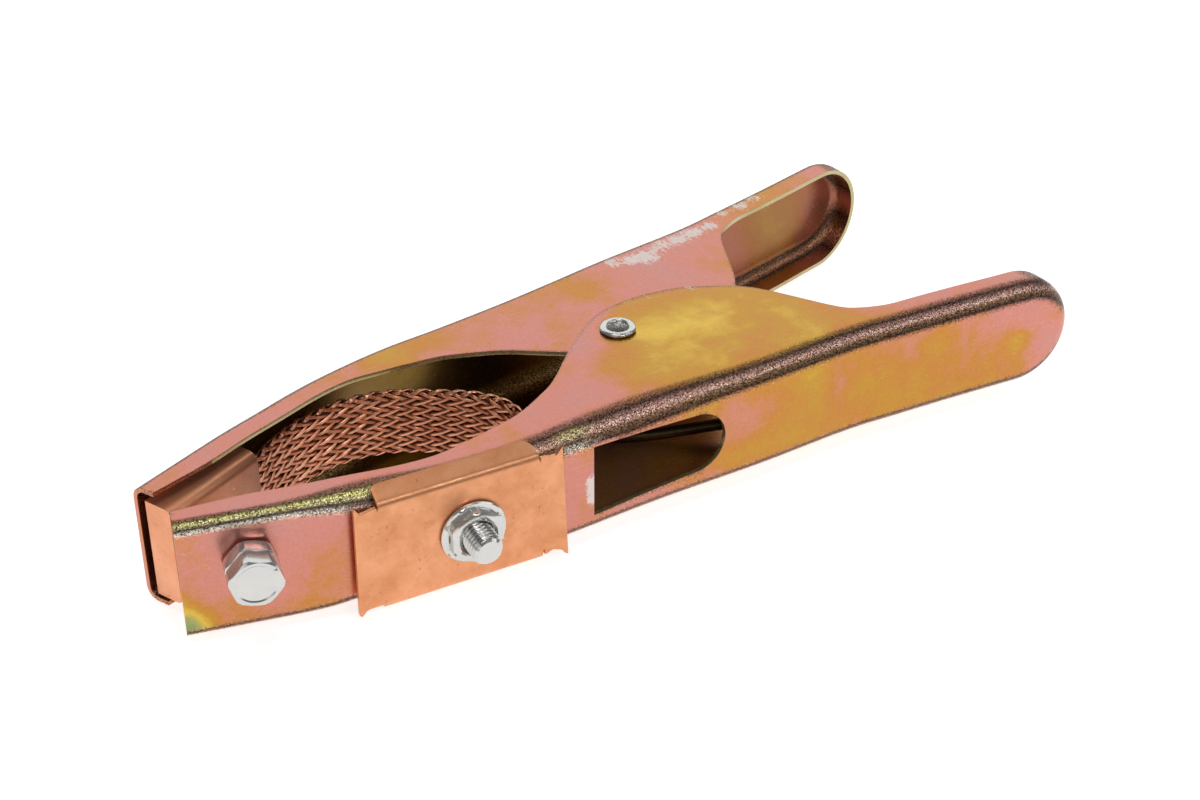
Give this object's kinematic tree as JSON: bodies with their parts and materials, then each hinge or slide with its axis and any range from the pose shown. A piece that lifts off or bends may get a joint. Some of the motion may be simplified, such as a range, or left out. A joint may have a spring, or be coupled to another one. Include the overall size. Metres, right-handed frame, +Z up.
{
  "type": "ground clamp",
  "caption": "Spring-closed welding ground clamp: pressed steel channel arms hinged on a hollow rivet, copper jaw contacts joined by a flat copper braid, and a copper saddle with a cable stud",
  "frame": {"origin": "centre of the bounding box in plan, on the level of the clamp's lowest point, where it lies flat on its side", "axes": "+Z up along the pivot rivet, -X to the jaws, +X to the handles, -Y to the arm that carries the cable saddle"},
  "size_m": [0.2498, 0.0972, 0.0357],
  "materials": {
    "passivated_steel": "yellow-passivated zinc on pressed steel, pink, orange, yellow and green tints, satin",
    "copper_sheet": "bare copper sheet, lightly tarnished, satin",
    "copper_braid": "bare copper strands, reddish brown, satin",
    "bright_zinc": "bright zinc plate, glossy",
    "spring_steel": "oiled dark spring wire, satin"
  },
  "bodies": {
    "front": {"front_arm": "passivated_steel", "front_jaw_contact": "copper_sheet", "front_braid_pad": "copper_braid", "front_jaw_bolt": "bright_zinc", "front_jaw_lock_nut": "bright_zinc", "front_jaw_inner_nut": "bright_zinc", "cable_saddle": "copper_sheet", "cable_stud": "bright_zinc", "cable_flange_nut": "bright_zinc", "pivot_rivet": "bright_zinc", "torsion_spring": "spring_steel", "copper_braid": "copper_braid"},
    "rear": {"rear_arm": "passivated_steel", "rear_jaw_contact": "copper_sheet", "rear_braid_pad": "copper_braid", "rear_jaw_bolt": "bright_zinc", "rear_jaw_lock_nut": "bright_zinc", "rear_jaw_inner_nut": "bright_zinc"}
  },
  "joints": [
    {"name": "jaw_hinge", "type": "hinge", "parent": "front", "child": "rear", "pos_m": [0.00668, 0, 0.0177], "axis": [0, 0, -1], "range_deg": [0, 30], "stiffness_Nm_per_rad": 8, "springref_deg": -45.84, "deforming": ["torsion_spring", "copper_braid"]}
  ]
}
